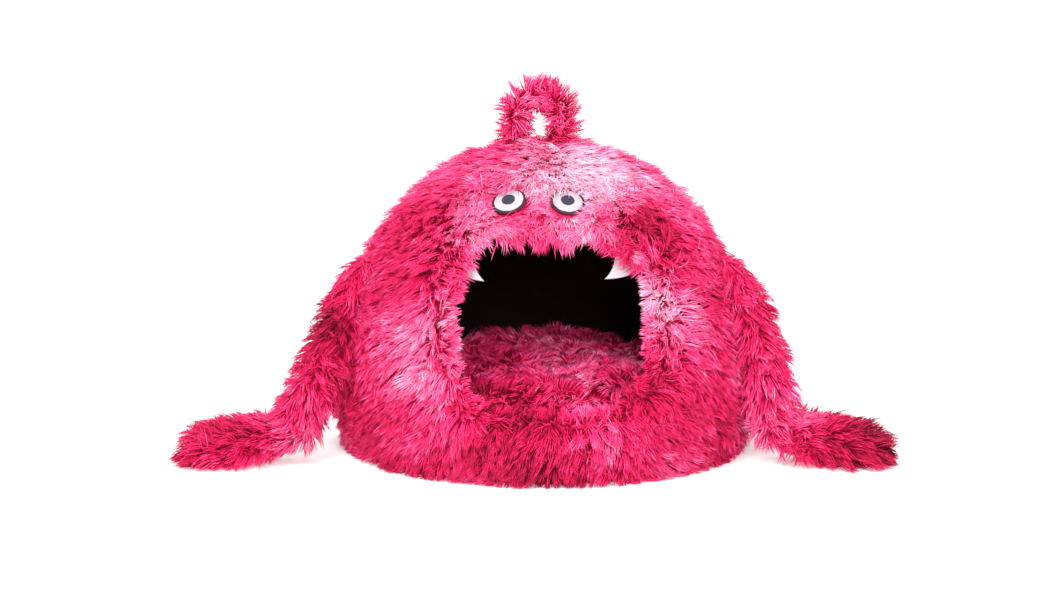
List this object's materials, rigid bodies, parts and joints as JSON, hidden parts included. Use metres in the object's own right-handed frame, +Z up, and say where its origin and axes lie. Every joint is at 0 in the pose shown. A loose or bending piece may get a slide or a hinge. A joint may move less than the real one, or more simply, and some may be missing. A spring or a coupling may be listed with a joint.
{
  "type": "plush pet cave",
  "caption": "Plush monster pet cave: a domed fur hood with a mouth for an entrance, felt eyes and fangs, a loose cushion inside, a carrying loop on top and two limp arms at its sides.",
  "frame": {"origin": "centre of the base's underside, on the floor", "axes": "+Z up, the mouth faces -Y, +X to the right of someone who looks at the mouth"},
  "size_m": [0.677, 0.408, 0.356],
  "materials": {
    "pink_plush": "long soft pile",
    "foam": "open-cell foam",
    "filling": "loose polyester filling",
    "dark_lining": "brushed knit",
    "dark_binding": "folded tape",
    "plum_felt": "pressed felt",
    "white_felt": "pressed felt",
    "slate_felt": "pressed felt",
    "base_fabric": "close weave with rubber dots",
    "pink_tape": "twill tape"
  },
  "bodies": {
    "hood": {"base_cloth": "base_fabric", "base_foam": "foam", "floor_lining": "dark_lining", "hood_lining": "dark_lining", "cheek_left_binding": "dark_binding", "cheek_right_binding": "dark_binding", "crown_cover": "pink_plush", "cheek_left_cover": "pink_plush", "cheek_right_cover": "pink_plush", "back_left_cover": "pink_plush", "back_right_cover": "pink_plush", "crown_foam": "foam", "cheek_left_foam": "foam", "cheek_right_foam": "foam", "back_left_foam": "foam", "back_right_foam": "foam"},
    "brow": {"brow_cover": "pink_plush", "brow_foam": "foam", "brow_lining": "dark_lining", "brow_binding": "dark_binding", "eye_left_outline": "plum_felt", "eye_left_white": "white_felt", "eye_left_pupil": "slate_felt", "eye_right_outline": "plum_felt", "eye_right_white": "white_felt", "eye_right_pupil": "slate_felt"},
    "lip": {"lip_cover": "pink_plush", "lip_foam": "foam", "lip_lining": "dark_lining", "lip_binding": "dark_binding"},
    "left_fang": {"fang_left": "white_felt"},
    "right_fang": {"fang_right": "white_felt"},
    "loop": {"loop_sleeve": "pink_plush", "loop_core": "pink_tape"},
    "cushion": {"cushion_cover": "pink_plush", "cushion_filling": "filling", "cushion_underside": "base_fabric"},
    "left_shoulder": {"shoulder_tab_left": "pink_tape"},
    "left_arm": {"arm_sleeve_left": "pink_plush", "arm_filling_left": "pink_plush"},
    "left_hand": {"hand_sleeve_left": "pink_plush", "hand_filling_left": "pink_plush"},
    "right_shoulder": {"shoulder_tab_right": "pink_tape"},
    "right_arm": {"arm_sleeve_right": "pink_plush", "arm_filling_right": "pink_plush"},
    "right_hand": {"hand_sleeve_right": "pink_plush", "hand_filling_right": "pink_plush"}
  },
  "joints": [
    {"name": "brow_press", "type": "hinge", "parent": "hood", "child": "brow", "pos_m": [0.004, -0.06, 0.29174], "axis": [1, 0, 0], "range_deg": [0, 15], "stiffness_Nm_per_rad": 2, "springref_deg": -6.88},
    {"name": "lip_fold", "type": "hinge", "parent": "hood", "child": "lip", "pos_m": [0.004, -0.19608, 0.006], "axis": [1, 0, 0], "range_deg": [0, 30], "stiffness_Nm_per_rad": 1, "springref_deg": -2.86},
    {"name": "loop_flop", "type": "hinge", "parent": "hood", "child": "loop", "pos_m": [-0.007, 0, 0.3124], "axis": [1, 0, 0], "range_deg": [-60, 60], "stiffness_Nm_per_rad": 0.05},
    {"name": "cushion_lift", "type": "slide", "parent": "hood", "child": "cushion", "axis": [0, 0, 1], "range_m": [0, 0.06]},
    {"name": "left_fang_flap", "type": "hinge", "parent": "brow", "child": "left_fang", "pos_m": [-0.07609, -0.13473, 0.19988], "axis": [-0.4817, -0.3255, -0.8136], "range_deg": [-40, 40], "stiffness_Nm_per_rad": 0.002},
    {"name": "right_fang_flap", "type": "hinge", "parent": "brow", "child": "right_fang", "pos_m": [0.0791, -0.12768, 0.20658], "axis": [0.6179, -0.2299, -0.7519], "range_deg": [-40, 40], "stiffness_Nm_per_rad": 0.002},
    {"name": "left_shoulder_swing", "type": "hinge", "parent": "hood", "child": "left_shoulder", "pos_m": [-0.18326, -0.05955, 0.19331], "axis": [0.8493, 0.276, -0.45], "range_deg": [-40, 30]},
    {"name": "left_shoulder_raise", "type": "hinge", "parent": "left_shoulder", "child": "left_arm", "pos_m": [-0.18326, -0.05955, 0.19331], "axis": [-0.3091, 0.951, 0], "range_deg": [0, 80]},
    {"name": "left_wrist_bend", "type": "hinge", "parent": "left_arm", "child": "left_hand", "pos_m": [-0.244, -0.097, 0.036], "axis": [0, 1, 0], "range_deg": [0, 35]},
    {"name": "right_shoulder_swing", "type": "hinge", "parent": "hood", "child": "right_shoulder", "pos_m": [0.18326, -0.05955, 0.19331], "axis": [0.8493, -0.276, 0.45], "range_deg": [-40, 30]},
    {"name": "right_shoulder_raise", "type": "hinge", "parent": "right_shoulder", "child": "right_arm", "pos_m": [0.18326, -0.05955, 0.19331], "axis": [-0.3091, -0.951, 0], "range_deg": [0, 80]},
    {"name": "right_wrist_bend", "type": "hinge", "parent": "right_arm", "child": "right_hand", "pos_m": [0.225, -0.098, 0.036], "axis": [0, -1, 0], "range_deg": [0, 35]}
  ]
}
